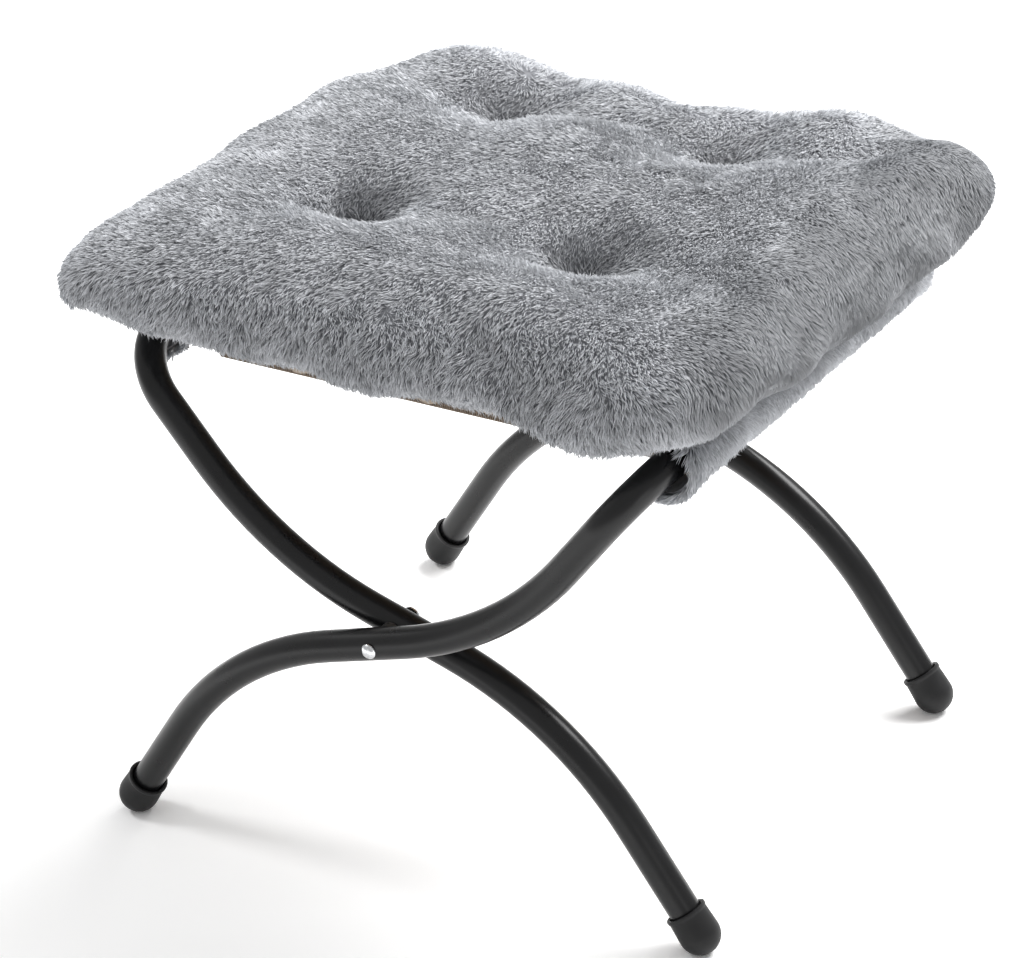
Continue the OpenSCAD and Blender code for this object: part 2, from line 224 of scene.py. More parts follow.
def noise(tree, where, scale, detail):
    return add_node(tree, "ShaderNodeTexNoise", Vector=where, Scale=scale, Detail=detail).outputs["Fac"]


def bands(tree, where, axis, scale):
    """Even stripes across one axis of a map, as between threads or ribs."""
    node = add_node(tree, "ShaderNodeTexWave", {"bands_direction": axis}, Vector=where, Scale=scale)
    return node.outputs["Fac"]


def spread(tree, factor, low, high, new_low, new_high):
    """Maps low to high onto new_low to new_high."""
    node = add_node(tree, "ShaderNodeMapRange", _0=factor, _1=low, _2=high, _3=new_low, _4=new_high)
    return node.outputs[0]


def combine(tree, operation, *factors):
    inputs = {f"_{k}": factor for k, factor in enumerate(factors)}
    return add_node(tree, "ShaderNodeMath", {"operation": operation}, **inputs).outputs[0]


def dress(tree, shader, colour, roughness=None, height=None, depth=0.0, strength=0.0):
    """Links a finish's colour, and its roughness and its bumps where they vary."""
    tree.links.new(colour, shader.inputs["Base Color"])
    if roughness is not None:
        tree.links.new(roughness, shader.inputs["Roughness"])
    if height is not None:
        bump = add_node(tree, "ShaderNodeBump", Height=height, Distance=depth, Strength=strength)
        tree.links.new(bump.outputs["Normal"], shader.inputs["Normal"])


def seen_by(tree, ray):
    """1 for the camera and for one more kind of ray, otherwise 0."""
    path = add_node(tree, "ShaderNodeLightPath")
    return combine(tree, "MAXIMUM", path.outputs["Is Camera Ray"], path.outputs[ray])


# %% Floor and world
WHITE, LIT_FLOOR, AMBIENT = 1.2, 0.85, 0.62
nothing_selected()
bpy.ops.mesh.primitive_circle_add(vertices=96, radius=14, fill_type="NGON")
floor = named("floor")
floor_white, tree, shader = new_material("floor_white", 0.9, 0.1)
floor_colour = add_node(tree, "ShaderNodeMix", {"data_type": "RGBA"}, _0=seen_by(tree, "Is Glossy Ray"),
                        _6=(LIT_FLOOR, LIT_FLOOR, LIT_FLOOR, 1), _7=(WHITE, WHITE, WHITE, 1))
dress(tree, shader, floor_colour.outputs[2])
floor.data.materials.append(floor_white)

world = bpy.data.worlds.new("white_studio")
bpy.context.scene.world = world
world.use_nodes = True
tree = world.node_tree
tree.nodes.clear()
strength = spread(tree, seen_by(tree, "Is Transmission Ray"), 0, 1, AMBIENT, 1)
sky = add_node(tree, "ShaderNodeBackground", Color=(1, 1, 1, 1), Strength=strength)
out = tree.nodes.new("ShaderNodeOutputWorld")
tree.links.new(sky.outputs[0], out.inputs["Surface"])


# %% Lamps
LIT_POINT = Vector((0, 0, 0.25))


def soft_lamp(name, place, size, watts):
    data = bpy.data.lights.new(name, "AREA")
    data.shape = "RECTANGLE"
    data.size, data.size_y = size
    data.energy = watts
    lamp = bpy.data.objects.new(name, data)
    bpy.context.scene.collection.objects.link(lamp)
    lamp.location = place
    lamp.rotation_euler = (LIT_POINT - lamp.location).to_track_quat("-Z", "Y").to_euler()


soft_lamp("key_left", (-1.6, -0.4, 1.9), (0.6, 0.35), 14)
soft_lamp("fill_right", (1.9, -0.9, 0.35), (0.8, 0.5), 2)
soft_lamp("top_back", (0.6, 1.4, 2.1), (2.2, 1.2), 106)
scene = bpy.context.scene
scene.view_settings.view_transform = "Standard"

# %% [markdown]
# ## The bent tubes
# Each frame is one steel tube, bent on a former and covered in satin black powder. A tube bender
# works along the tube: it feeds a straight length, then turns the tube round a former. The same
# two moves make it here. A circle is extruded for a straight and spun for a bend, from the foot up
# to the middle of the rail, and a Mirror modifier adds the other leg.

# %% Sizes of the frames, in metres and degrees, as in the CAD source
TUBE_R = 0.0095
OUTER_SPAN, INNER_SPAN = 0.170, 0.146
SLOPE = 17.0
UPPER = {"start": 0.020, "radius": 0.228, "turn": 34.0, "end": 0.038}
LOWER = {"start": 0.036, "radius": 0.214, "turn": 38.5, "end": 0.075}
CORNER_R = 0.038
FOOT_R, FOOT_SOLE, FOOT_FLAT = 0.01235, 0.0103, 0.0004


def direction(degrees):
    """A heading in the plane of a leg, degrees above +X."""
    return Vector((math.cos(math.radians(degrees)), 0, math.sin(math.radians(degrees))))


def along_bend(place, slope_in, slope_out, radius):
    """Where a bend that starts at place ends."""
    side = 1 if slope_out > slope_in else -1
    return place + side * radius * (direction(slope_in + 90) - direction(slope_out + 90))


foot_slope = SLOPE + LOWER["turn"]
rail_slope = SLOPE + UPPER["turn"]
ball_to_tube = FOOT_R - FOOT_SOLE
run_up = direction(foot_slope)
pivot_from_ball = along_bend(run_up * (LOWER["end"] - ball_to_tube), foot_slope, SLOPE, LOWER["radius"])
pivot_from_ball += direction(SLOPE) * LOWER["start"]
PIVOT_Z = FOOT_R - FOOT_FLAT + pivot_from_ball.z
FOOT_BALL = Vector((-pivot_from_ball.x, 0, FOOT_R - FOOT_FLAT))
TUBE_END = FOOT_BALL - run_up * ball_to_tube
print("rivet height", round(PIVOT_Z, 5), "foot ball", [round(x, 5) for x in FOOT_BALL])


# %% A tube bender's two moves
def feed(place, heading, length):
    bpy.ops.mesh.extrude_region_move(TRANSFORM_OT_translate={"value": heading * length})
    return place + heading * length


def turn(place, heading, toward, radius, degrees):
    """Spins the open end round a former that lies on its toward side. Spin turns clockwise."""
    centre = place + toward * radius
    axis = toward.cross(heading).normalized()
    bpy.ops.mesh.spin(steps=max(6, round(degrees / 2.5)), angle=math.radians(degrees),
                      center=centre, axis=axis)
    swing = Matrix.Rotation(-math.radians(degrees), 3, axis)
    return centre + swing @ (place - centre), swing @ heading


def bent_tube(name, span):
    """The tube of a frame whose rail is on the right, with its legs at y = -span and span."""
    place, heading = TUBE_END + Vector((0, -span, 0)), run_up.copy()
    nothing_selected()
    bpy.ops.mesh.primitive_circle_add(
        vertices=40, radius=TUBE_R, fill_type="NGON", location=place,
        rotation=heading.to_track_quat("Z", "Y").to_euler(),
    )
    tube = named(name)
    edit(tube)
    bpy.ops.mesh.select_mode(type="VERT")
    bpy.ops.mesh.select_all(action="SELECT")
    bpy.ops.mesh.select_mode(type="EDGE")
    bpy.ops.mesh.extrude_edges_move(TRANSFORM_OT_translate={"value": heading * LOWER["end"]})
    place += heading * LOWER["end"]
    place, heading = turn(place, heading, direction(foot_slope - 90), LOWER["radius"], LOWER["turn"])
    place = feed(place, heading, LOWER["start"] + UPPER["start"])
    place, heading = turn(place, heading, direction(SLOPE + 90), UPPER["radius"], UPPER["turn"])
    place = feed(place, heading, UPPER["end"])
    place, heading = turn(place, heading, Vector((0, 1, 0)), CORNER_R, 90)
    place = feed(place, heading, -place.y)
    nothing_selected()
    apply_modifier(tube, "MIRROR", use_axis=(False, True, False), merge_threshold=1e-5)
    closed_up(tube)
    print(name, "rail at", [round(x, 5) for x in place], triangles_of(tube), "triangles")
    return tube, place


outer_tube, rail = bent_tube("outer_tube", OUTER_SPAN)
inner_right, _ = bent_tube("inner_blank", INNER_SPAN)
inner_tube = moved_copy(inner_right, "inner_tube", flip=(-1, 1, 1))
bpy.data.objects.remove(inner_right)
RAIL_X, RAIL_Z = rail.x, rail.z

# %% [markdown]
# Powder coat is black, satin and very slightly pebbled. Its roughness varies a little, and it is
# rubbed smoother in places, so that the long highlights are soft and not quite even.

# %% Powder coat
powder_coat, tree, shader = new_material("powder_coat", specular=0.34)
where = add_node(tree, "ShaderNodeTexCoord").outputs["Object"]
cloud = noise(tree, where, 28, 4)
black = ramp(tree, cloud, (0.3, (0.0042, 0.0042, 0.0046)), (0.75, (0.0065, 0.0065, 0.0072)))
gloss = spread(tree, cloud, 0.3, 0.7, 0.25, 0.33)
dress(tree, shader, black, gloss, noise(tree, where, 900, 2), 0.00003, 0.35)
for tube, node, body in ((outer_tube, "outer_frame_tube", "outer_frame"),
                         (inner_tube, "inner_frame_tube", "inner_frame")):
    tube.data.materials.append(powder_coat)
    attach(tube, body)
    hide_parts(node)

# %% [markdown]
# ## Rubber feet
# Each tube ends in a moulded rubber cap: a round end that stands on a small flat, a wall that
# draws in slightly, and a rolled rim that stands off the tube. A turned shape like this is built
# ring by ring, as on a lathe: a circle is extruded along the axis and scaled to each radius.


# %% Turning on a lathe
def turned(name, base, axis, rings, sides=40):
    """Rings are (distance along the axis, radius). The first and the last are closed."""
    axis = axis.normalized()
    nothing_selected()
    height, radius = rings[0]
    bpy.ops.mesh.primitive_circle_add(
        vertices=sides, radius=radius, fill_type="NGON", location=base + axis * height,
        rotation=axis.to_track_quat("Z", "Y").to_euler(),
    )
    piece = named(name)
    edit(piece)
    bpy.ops.mesh.select_all(action="SELECT")
    for next_height, next_radius in rings[1:]:
        bpy.ops.mesh.extrude_region_move(
            TRANSFORM_OT_translate={"value": axis * (next_height - height)})
        bpy.ops.transform.resize(value=(next_radius / radius,) * 3,
                                 center_override=base + axis * next_height)
        height, radius = next_height, next_radius
    nothing_selected()
    return closed_up(piece)


# %% Feet
ball = [(-FOOT_R * math.cos(math.radians(a)), FOOT_R * math.sin(math.radians(a)))
        for a in (3, 12, 22, 32, 42, 52, 62, 72, 82, 90)]
cap_wall = [(0.0040, 0.01222), (0.0085, 0.01200), (0.0125, 0.01182)]
cap_rim = [(0.0131, 0.01190), (0.0137, 0.01228), (0.0148, 0.01240), (0.0156, 0.01225),
           (0.01585, 0.01180), (0.0157, 0.01100), (0.0153, 0.01035), (0.0130, 0.00995),
           (0.0090, 0.00975)]
outer_front = turned("outer_front_cap", FOOT_BALL + Vector((0, -OUTER_SPAN, 0)), run_up,
                     ball + cap_wall + cap_rim)
edit(outer_front)
bpy.ops.mesh.select_all(action="SELECT")
bpy.ops.mesh.bisect(plane_co=(0, 0, 0), plane_no=(0, 0, 1), use_fill=True, clear_inner=True)
nothing_selected()
closed_up(outer_front)

# %% [markdown]
# The rubber is matt and finely grained. Dust and scuffs show near the floor, so a noise is
# multiplied by how low each point lies.

# %% Rubber
moulded_rubber, tree, shader = new_material("moulded_rubber", specular=0.3)
where = add_node(tree, "ShaderNodeTexCoord").outputs["Object"]
scuff = noise(tree, where, 60, 5)
height = add_node(tree, "ShaderNodeSeparateXYZ", Vector=where).outputs["Z"]
dusty = combine(tree, "MULTIPLY", spread(tree, height, 0, 0.006, 1, 0), scuff)
rubber_black = ramp(tree, dusty, (0.0, (0.0065, 0.0065, 0.007)), (0.8, (0.035, 0.034, 0.033)))
dress(tree, shader, rubber_black, spread(tree, scuff, 0.3, 0.7, 0.46, 0.6), noise(tree, where, 1400, 3),
      0.00005, 0.4)
outer_front.data.materials.append(moulded_rubber)

gap = Vector((0, OUTER_SPAN - INNER_SPAN, 0))
caps = {
    "outer_front": (outer_front, "outer_frame"),
    "outer_rear": (moved_copy(outer_front, "outer_rear_cap", flip=(1, -1, 1)), "outer_frame"),
    "inner_front": (moved_copy(outer_front, "inner_front_cap", (-1, 1, 1), gap), "inner_frame"),
    "inner_rear": (moved_copy(outer_front, "inner_rear_cap", (-1, -1, 1), -gap), "inner_frame"),
}
for corner, (cap, body) in caps.items():
    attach(cap, body)
    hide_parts(corner + "_foot")
print("caps", len(caps), "each", triangles_of(outer_front), "triangles")

# %% [markdown]
# ## Rivets, washers and spacers
# A zinc-plated rivet runs through both tubes at each crossing. Its heads are low domes with a thin
# flange. A nylon spacer keeps the tubes apart and a washer lies under the inner head. The rivet is
# turned like the feet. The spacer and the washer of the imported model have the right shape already,
# so they only get materials.

# %% Rivets
RIVET_R, HEAD_R, HEAD_H = 0.003, 0.0046, 0.0026
OUTER_CREST = OUTER_SPAN + TUBE_R
WASHER_T, SEAT_GAP, SINK = 0.0012, 0.0001, 0.0006
INNER_HEAD = INNER_SPAN - TUBE_R - WASHER_T - 2 * SEAT_GAP
# Shares of the head's height, from its top, and of its radius
dome = [(0.9, 0.12), (0.86, 0.38), (0.74, 0.62), (0.54, 0.82), (0.30, 0.95), (0.16, 1.0), (0.0, 1.0)]
outer_head = [(OUTER_CREST + HEAD_H * h / dome[0][0], HEAD_R * r) for h, r in dome]
inner_head = [(INNER_HEAD - HEAD_H * h / dome[0][0], HEAD_R * r) for h, r in reversed(dome)]
shank = [(OUTER_CREST - SINK, RIVET_R), (INNER_HEAD + SEAT_GAP, RIVET_R)]
front_rivet = turned("front_rivet", Vector((0, 0, PIVOT_Z)), Vector((0, -1, 0)),
                     outer_head + shank + inner_head)

# %% [markdown]
# Zinc plating is pale and shiny, with a faint spangle in its colour and its gloss. The nylon is a
# plain satin black.

# %% Zinc and nylon
zinc_plate, tree, shader = new_material("zinc_plate")
spangle = noise(tree, add_node(tree, "ShaderNodeTexCoord").outputs["Object"], 700, 3)
zinc = ramp(tree, spangle, (0.3, (0.60, 0.61, 0.63)), (0.7, (0.78, 0.79, 0.80)))
dress(tree, shader, zinc, spread(tree, spangle, 0.3, 0.7, 0.16, 0.3))
shader.inputs["Metallic"].default_value = 1.0
front_rivet.data.materials.append(zinc_plate)
rear_rivet = moved_copy(front_rivet, "rear_rivet", flip=(1, -1, 1))
for rivet, end in ((front_rivet, "front"), (rear_rivet, "rear")):
    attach(rivet, "outer_frame")
    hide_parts(end + "_pivot_rivet")

black_nylon, tree, shader = new_material("black_nylon")
mottle = noise(tree, add_node(tree, "ShaderNodeTexCoord").outputs["Object"], 300, 3)
dress(tree, shader, ramp(tree, mottle, (0.3, 0.02), (0.7, 0.032)))
for end in ("front", "rear"):
    for node, material in ((end + "_pivot_spacer", black_nylon), (end + "_rivet_washer", zinc_plate)):
        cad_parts[node].material_slots[0].material = material
print("rivet", triangles_of(front_rivet), "triangles")

# %% [markdown]
# ## The plush cushion
# The cover is cut with round corners and sewn shut, so full of fibre it has a flat belly, an edge
# at mid height, and a broad crown. Its plan is a plane with bevelled corners. That outline is
# extruded ring by ring up the side, and the shape is remeshed into even faces.

# %% The cover, ring by ring
HALF_X, HALF_Y, CORNER = 0.2265, 0.1790, 0.062
BELLY_Z = 0.3068
VOXEL = 0.0055
profile = [  # share of the plan's size, height
    (0.66, BELLY_Z), (0.76, 0.3145), (0.86, 0.3230), (0.94, 0.3310), (0.982, 0.3375),
    (1.0, 0.3455), (0.997, 0.3540), (0.978, 0.3620), (0.94, 0.3690), (0.88, 0.3750),
    (0.79, 0.3795), (0.66, 0.3830), (0.46, 0.3852), (0.22, 0.3860),
]
nothing_selected()
bpy.ops.mesh.primitive_plane_add(size=2)
cushion = named("plush_cushion")
edit(cushion)
bpy.ops.mesh.select_all(action="SELECT")
bpy.ops.transform.resize(value=(HALF_X, HALF_Y, 1))
bpy.ops.mesh.bevel(offset=CORNER, segments=12, affect="VERTICES")
share, height = profile[0]
bpy.ops.transform.resize(value=(share, share, 1))
bpy.ops.transform.translate(value=(0, 0, height))
for next_share, next_height in profile[1:]:
    bpy.ops.mesh.extrude_region_move(TRANSFORM_OT_translate={"value": (0, 0, next_height - height)})
    bpy.ops.transform.resize(value=(next_share / share, next_share / share, 1),
                             center_override=(0, 0, next_height))
    share, height = next_share, next_height
nothing_selected()
closed_up(cushion)
apply_modifier(cushion, "REMESH", mode="VOXEL", voxel_size=VOXEL, use_smooth_shade=True)
print("cushion", len(cushion.data.vertices), "vertices")

# %% [markdown]
# Four threads pull the cover down to the sling, one at each tuft. A proportional move does the
# same to the mesh: one vertex is pulled down, and its neighbours follow. Wider, shallower pulls
# between the tufts and towards the edges make the soft valleys.

# %% Tufts and valleys
TUFTS = {"front_left": (-0.071, -0.052), "front_right": (0.083, -0.058),
         "rear_left": (-0.069, 0.106), "rear_right": (0.080, 0.106)}
TUFT_TOP = 0.375
TUFT_PULLS = ((0.011, 0.082), (0.020, 0.054), (0.018, 0.028))  # depth, radius
SHAPING = [  # place, move, radius: what the threads and a year of use do to a full cushion
    # The left shoulder and its corners are worn lower
    ((-0.215, -0.10, 0.352), (0.009, 0, -0.011), 0.075),
    ((-0.215, -0.03, 0.352), (0.012, 0, -0.011), 0.080),
    ((-0.215, 0.10, 0.352), (0.008, 0, -0.012), 0.075),
    ((-0.190, 0.15, 0.352), (0.010, -0.006, -0.011), 0.060),
    ((-0.205, -0.155, 0.352), (0.003, 0, -0.005), 0.040),
    ((-0.205, 0.045, 0.362), (0.005, 0, -0.011), 0.060),
    # The rear edge is fuller, and so is its right corner
    ((-0.115, 0.150, 0.376), (0, 0.003, 0.008), 0.060),
    ((0.128, 0.150, 0.376), (0, 0.003, 0.008), 0.060),
    ((0.205, 0.140, 0.367), (0.003, 0.004, 0.006), 0.065),
    ((0.215, 0.160, 0.350), (0.004, 0.003, 0.003), 0.050),
    # Valleys and humps lie between the tufts, and from them to the edges
    ((0.026, 0.158, 0.376), (0, 0, -0.009), 0.045),
    ((0.005, 0.110, 0.381), (0, 0, -0.014), 0.052),
    ((0.000, 0.045, 0.383), (0, 0, 0.006), 0.055),
    ((0.006, -0.054, 0.382), (0, 0, -0.008), 0.050),
    ((-0.070, -0.105, 0.381), (0, -0.003, 0.005), 0.055),
    ((0.080, -0.110, 0.381), (0, -0.003, 0.005), 0.055),
    ((0.155, -0.060, 0.379), (0, 0, -0.009), 0.055),
    ((0.160, 0.104, 0.379), (0, 0, -0.009), 0.055),
    ((-0.150, -0.054, 0.379), (0, 0, -0.005), 0.050),
    ((-0.150, 0.106, 0.379), (0, 0, -0.005), 0.050),
    # The lower front edge waves over the sling
    ((0.145, -0.165, 0.338), (0, -0.004, -0.006), 0.045),
    ((0.085, -0.163, 0.333), (0, 0.005, 0.010), 0.040),
    ((0.045, -0.163, 0.333), (0, 0.004, 0.007), 0.032),
    ((0.008, -0.165, 0.334), (0, -0.003, -0.001), 0.030),
    ((-0.040, -0.163, 0.333), (0, 0.004, 0.006), 0.040),
    ((-0.105, -0.163, 0.333), (0, 0.002, 0.005), 0.045),
    ((-0.165, -0.160, 0.333), (0, 0.003, 0.008), 0.050),
    # The lower right edge is drawn in above the sleeve
    ((0.213, -0.110, 0.336), (-0.002, 0, 0.010), 0.050),
    ((0.213, -0.030, 0.335), (-0.002, 0, 0.008), 0.050),
    ((0.213, 0.050, 0.335), (-0.002, 0, 0.004), 0.050),
]


def push(piece, place, move, radius):
    """Moves the vertex nearest to place by move, and what lies within radius with it."""
    place = Vector(place)
    nearest = min(piece.data.vertices, key=lambda v: (v.co - place).length_squared).index
    edit(piece)
    pick("verts", lambda v: v.index == nearest)
    bpy.ops.transform.translate(value=move, use_proportional_edit=True,
                                proportional_edit_falloff="SMOOTH", proportional_size=radius)
    nothing_selected()


for place, move, radius in SHAPING:
    push(cushion, place, move, radius)
for x, y in TUFTS.values():
    for depth, radius in TUFT_PULLS:
        push(cushion, (x, y, TUFT_TOP), (0, 0, -depth), radius)
print("cushion's size", [round(x, 3) for x in cushion.dimensions])

# %% [markdown]
# A stuffed cover isn't as even as that. A cloth simulation with pressure inside blows it up
# between its tufts, with the tufts and the belly held. The move is capped, so that the cushion
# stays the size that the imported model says. A Displace modifier then swells the crown, less and
# less towards the lower edge, which stays clear of the sling's bound edge.

# %% Filling the cover
FILL_CAP = 0.009
HELD_BELOW, HELD_NEAR = 0.330, 0.006
SWELL, SWELL_FROM, SWELL_OVER = 0.0028, 0.332, 0.020


def held(point):
    """True on the belly and at the middle of each tuft."""
    near = min(math.hypot(point.x - x, point.y - y) for x, y in TUFTS.values())
    return point.z < HELD_BELOW or near < HELD_NEAR


before = np.array([v.co for v in cushion.data.vertices])
grip = cushion.vertex_groups.new(name="held")
grip.add([v.index for v in cushion.data.vertices if held(v.co)], 1.0, "REPLACE")
take(cushion)
modifier = cushion.modifiers.new("Cloth", "CLOTH")
modifier.settings.quality = 6
modifier.settings.mass = 0.3
modifier.settings.tension_stiffness = 20
modifier.settings.compression_stiffness = 8
modifier.settings.bending_stiffness = 1.5
modifier.settings.vertex_group_mass = "held"
modifier.settings.use_pressure = True
modifier.settings.uniform_pressure_force = 3.0
modifier.settings.effector_weights.gravity = 0
modifier.collision_settings.use_collision = False
for number in range(1, 21):
    bpy.context.scene.frame_set(number)
bpy.ops.object.modifier_apply(modifier="Cloth")
bpy.context.scene.frame_set(1)
after = np.array([v.co for v in cushion.data.vertices])
move = after - before
reach = np.linalg.norm(move, axis=1, keepdims=True)
after = before + move * np.minimum(1, FILL_CAP / np.maximum(reach, 1e-9))
after[:, 2] = np.maximum(after[:, 2], BELLY_Z)
cushion.data.vertices.foreach_set("co", after.ravel())
cushion.data.update()
crown = cushion.vertex_groups.new(name="crown")
for v in cushion.data.vertices:
    crown.add([v.index], min(1, max(0, (v.co.z - SWELL_FROM) / SWELL_OVER)), "REPLACE")
apply_modifier(cushion, "DISPLACE", strength=SWELL, mid_level=0.0, vertex_group="crown")
apply_modifier(cushion, "SUBSURF", levels=1)
print("moved by up to", round(float(reach.max()) * 1000, 1), "mm;", triangles_of(cushion), "triangles")

# %% [markdown]
# The backing cloth under the pile is a plain knit, darker than the tips because little light gets
# down to it. The underside has no pile: there it is plain beige lining.

# %% Backing cloth
backing_cloth, tree, shader = new_material("backing_cloth", 0.9, 0.1)
under = add_node(tree, "ShaderNodeAttribute", {"attribute_name": "under"}).outputs["Fac"]
dress(tree, shader, ramp(tree, under, (0.35, (0.235, 0.24, 0.255)), (0.65, (0.42, 0.36, 0.29))))
cushion.data.materials.append(backing_cloth)

# %% [markdown]
# ## The pile
# Plush pile is thousands of fine strands. Blender's hair would grow them, but hair isn't exported,
# so one strand is modelled: a thin spindle with four faces, a little bowed. Its copies are set on
# the cover with numpy, seeded, each with its own length, lean and shade.

# %% One strand
nothing_selected()
bpy.ops.mesh.primitive_plane_add(size=1)
strand = named("strand")
edit(strand)
bpy.ops.mesh.select_all(action="SELECT")
bpy.ops.transform.rotate(value=math.radians(45), orient_axis="Z", center_override=(0, 0, 0))
bpy.ops.transform.resize(value=(math.sqrt(0.5), math.sqrt(0.5), 1))
bpy.ops.transform.rotate(value=math.radians(90), orient_axis="X", center_override=(0, 0, 0))
bpy.ops.transform.translate(value=(0, 0, 0.5))
pick("verts", lambda v: v.co.z > 0.9)
bpy.ops.transform.translate(value=(0, 0.54, -0.16))
pick("verts", lambda v: 0.1 < v.co.z < 0.7 and abs(v.co.x) > 0.1)
bpy.ops.transform.translate(value=(0, 0.25, 0))
nothing_selected()
# The spindle's corners, in order: root, left, right, tip
spindle = np.array([v.co for v in strand.data.vertices])
spindle = spindle[np.lexsort((spindle[:, 0], np.round(spindle[:, 2], 3)))]
bpy.data.objects.remove(strand)
print("strand", spindle.round(2).tolist())


# %% [markdown]
# Small helpers shape the pile: vectors made one long, a smooth step from 0 to 1, and soft noise
# that is a sum of sine waves, for one number or for a direction.


# %% Smooth steps and waves
def unit(vectors):
    return vectors / np.maximum(np.linalg.norm(vectors, axis=-1, keepdims=True), 1e-9)


def smooth(low, high, x):
    t = np.clip((x - low) / (high - low), 0, 1)
    return t * t * (3 - 2 * t)


def waves(points, size, seed):
    """Soft seeded noise about 0, with waves about size long."""
    rng = np.random.default_rng(seed)
    total = np.zeros(len(points))
    for _ in range(10):
        heading = unit(rng.normal(size=3)) * rng.uniform(0.6, 1.7) * 2 * math.pi / size
        total += np.sin(points @ heading + rng.uniform(0, 2 * math.pi))
    return total / math.sqrt(10)


def wander(points, size, seed):
    """A soft seeded vector at each point."""
    return np.stack([waves(points, size, seed + k) for k in range(3)], axis=1)


# %% [markdown]
# Strands stand at random on the triangles of the cloth. A triangle's chance is its area times a
# weight, so that the underside can stay bare.


# %% Where strands stand
def roots_on(piece, wanted, count, rng):
    """Random points on the triangles for which wanted(centres, normals) gives a weight."""
    mesh = piece.data
    mesh.calc_loop_triangles()
    corners = np.empty(len(mesh.loop_triangles) * 3, np.int32)
    mesh.loop_triangles.foreach_get("vertices", corners)
    corners = corners.reshape(-1, 3)
    points = np.empty(len(mesh.vertices) * 3)
    mesh.vertices.foreach_get("co", points)
    points = points.reshape(-1, 3)
    normals = np.empty(len(mesh.vertices) * 3)
    mesh.vertices.foreach_get("normal", normals)
    normals = normals.reshape(-1, 3)
    a, b, c = (points[corners[:, k]] for k in range(3))
    cross = np.cross(b - a, c - a)
    area = np.linalg.norm(cross, axis=1) / 2
    weight = area * wanted((a + b + c) / 3, unit(cross))
    chosen = rng.choice(len(corners), size=count, p=weight / weight.sum())
    u, v = rng.random((2, count, 1))
    flip = u + v > 1
    u, v = np.where(flip, 1 - u, u), np.where(flip, 1 - v, v)
    a, b, c = corners[chosen].T
    place = points[a] * (1 - u - v) + points[b] * u + points[c] * v
    return place, unit(normals[a] * (1 - u - v) + normals[b] * u + normals[c] * v)


# %% [markdown]
# The pile is combed to the front on top, outwards at the sides, down over the edge and into the
# tufts, and it wanders a little where hands have brushed it.


# %% How the pile lies
def lay_on_cushion(place, normal):
    """The way the pile is combed at each place, before it is laid into the surface."""
    x, y, _ = place.T
    none = 0 * x
    lay = np.stack([0.25 * np.tanh(x / 0.12), none - 1, none - 0.15], axis=1)
    side = smooth(0.10, 0.19, np.abs(x))
    outwards = np.stack([1.1 * np.sign(x) * side, -0.25 * side, -0.5 * side], axis=1)
    lay = lay * (1 - 0.8 * side)[:, None] + outwards
    rear = smooth(0.13, 0.165, y)
    lay = lay * (1 - rear)[:, None] + np.stack([none, rear, -0.6 * rear], axis=1)
    steep = smooth(0.85, 0.35, normal[:, 2])
    lay = lay * (1 - 0.75 * steep)[:, None] + np.stack([none, none, -steep], axis=1)
    lay += 0.28 * wander(place, 0.05, 1)
    lay += 0.30 * wander(place, 0.02, 1)
    for tuft_x, tuft_y in TUFTS.values():
        inward = np.stack([tuft_x - x, tuft_y - y, none], axis=1)
        pull = 0.8 * smooth(0.042, 0.012, np.hypot(inward[:, 0], inward[:, 1]))[:, None]
        lay = unit(lay) * (1 - pull) + unit(inward) * pull
    return lay


# %% [markdown]
# Neighbours share a lock: they lean alike and their tips stick together. The mesh is filled with
# numpy, because an operator for each strand would take hours. Each point carries two numbers for
# the material: how far along its strand it is, which the plush ramp turns into painted shade at the
# root, lifted where the pile is calm; and how light its strand is, which is random tone plus painted
# shade and painted light. Each strand has its own cell in the UV map.

# %% Setting a pile
STRAND_WIDTH, LOCK_SIZE = 0.00040, 0.0013
TIP_CLING, MIDDLE_CLING = 0.30, 0.0735
LOCK_HASH = np.array([73856093, 19349663, 83492791])
SPINDLE_FACES = np.array([0, 1, 2, 2, 1, 3, 0, 2, 3, 1, 0, 3])
face_uv = np.array([[0.1, 0.1], [0.9, 0.1], [0.5, 0.9]])
spindle_uv = np.concatenate([(face_uv + place) / 2 for place in ((0, 0), (1, 0), (0, 1), (1, 1))])


